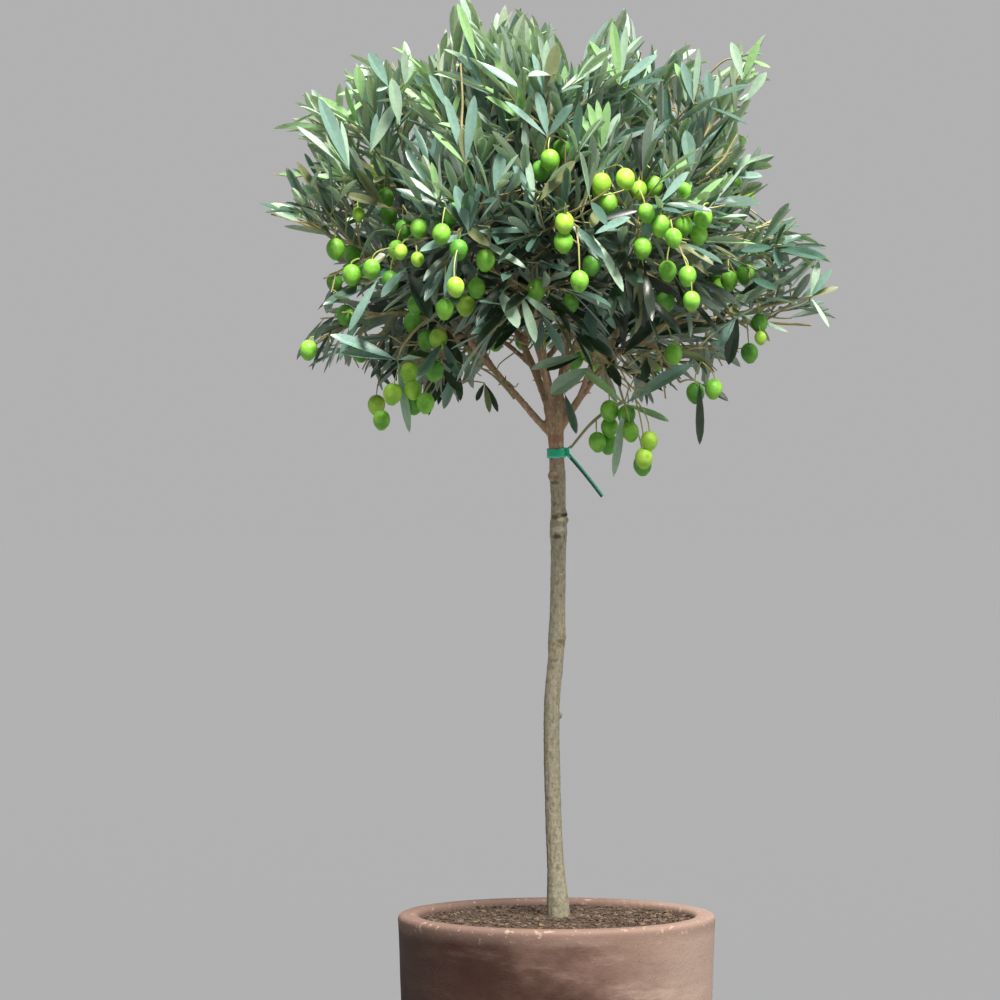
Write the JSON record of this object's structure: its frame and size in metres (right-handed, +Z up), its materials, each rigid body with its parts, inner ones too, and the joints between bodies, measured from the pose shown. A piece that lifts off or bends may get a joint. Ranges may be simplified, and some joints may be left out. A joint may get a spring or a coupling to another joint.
{
  "type": "potted olive tree",
  "caption": "Young olive tree grown as a half standard, with a round leafy crown and green olives on one slender stem, in a thick-walled round clay planter filled with compost.",
  "frame": {"origin": "centre of the planter's flat underside, on the ground", "axes": "+Z up along the stem, -Y towards the viewer of the picture, +X to the viewer's right"},
  "size_m": [0.5468, 0.5095, 1.2089],
  "materials": {
    "clay": "unglazed brown clay with a pale bloom in level streaks",
    "compost": "loose dark bark compost in crumbs and chips",
    "bark": "thin grey-brown bark with small scars, rough",
    "foliage": "narrow grey-green leaves, silvery underneath, with green olives",
    "tie": "flat green garden tie"
  },
  "bodies": {
    "root": {"planter": "clay", "compost": "compost", "stem": "bark", "tie": "tie", "bough_back_left": "bark", "bough_back_low_left": "bark", "bough_back_low_right": "bark", "bough_back_right": "bark", "bough_back_top": "bark", "bough_front_left": "bark", "bough_front_low": "bark", "bough_front_middle": "bark", "bough_front_right": "bark", "bough_front_top": "bark", "bough_hanging_left": "bark", "bough_hanging_right": "bark", "bough_low_left": "bark", "bough_low_right": "bark", "bough_middle": "bark", "bough_shoulder_left": "bark", "bough_shoulder_right": "bark", "bough_side_left": "bark", "bough_side_right": "bark", "bough_sprig_right": "bark", "bough_top_left": "bark", "bough_top_right": "bark", "foliage_back_left": "foliage", "foliage_back_low_left": "foliage", "foliage_back_low_right": "foliage", "foliage_back_right": "foliage", "foliage_back_top": "foliage", "foliage_front_left": "foliage", "foliage_front_low": "foliage", "foliage_front_middle": "foliage", "foliage_front_right": "foliage", "foliage_front_top": "foliage", "foliage_hanging_left": "foliage", "foliage_hanging_right": "foliage", "foliage_low_left": "foliage", "foliage_low_right": "foliage", "foliage_middle": "foliage", "foliage_shoulder_left": "foliage", "foliage_shoulder_right": "foliage", "foliage_side_left": "foliage", "foliage_side_right": "foliage", "foliage_sprig_right": "foliage", "foliage_top_left": "foliage", "foliage_top_right": "foliage"}
  },
  "joints": []
}
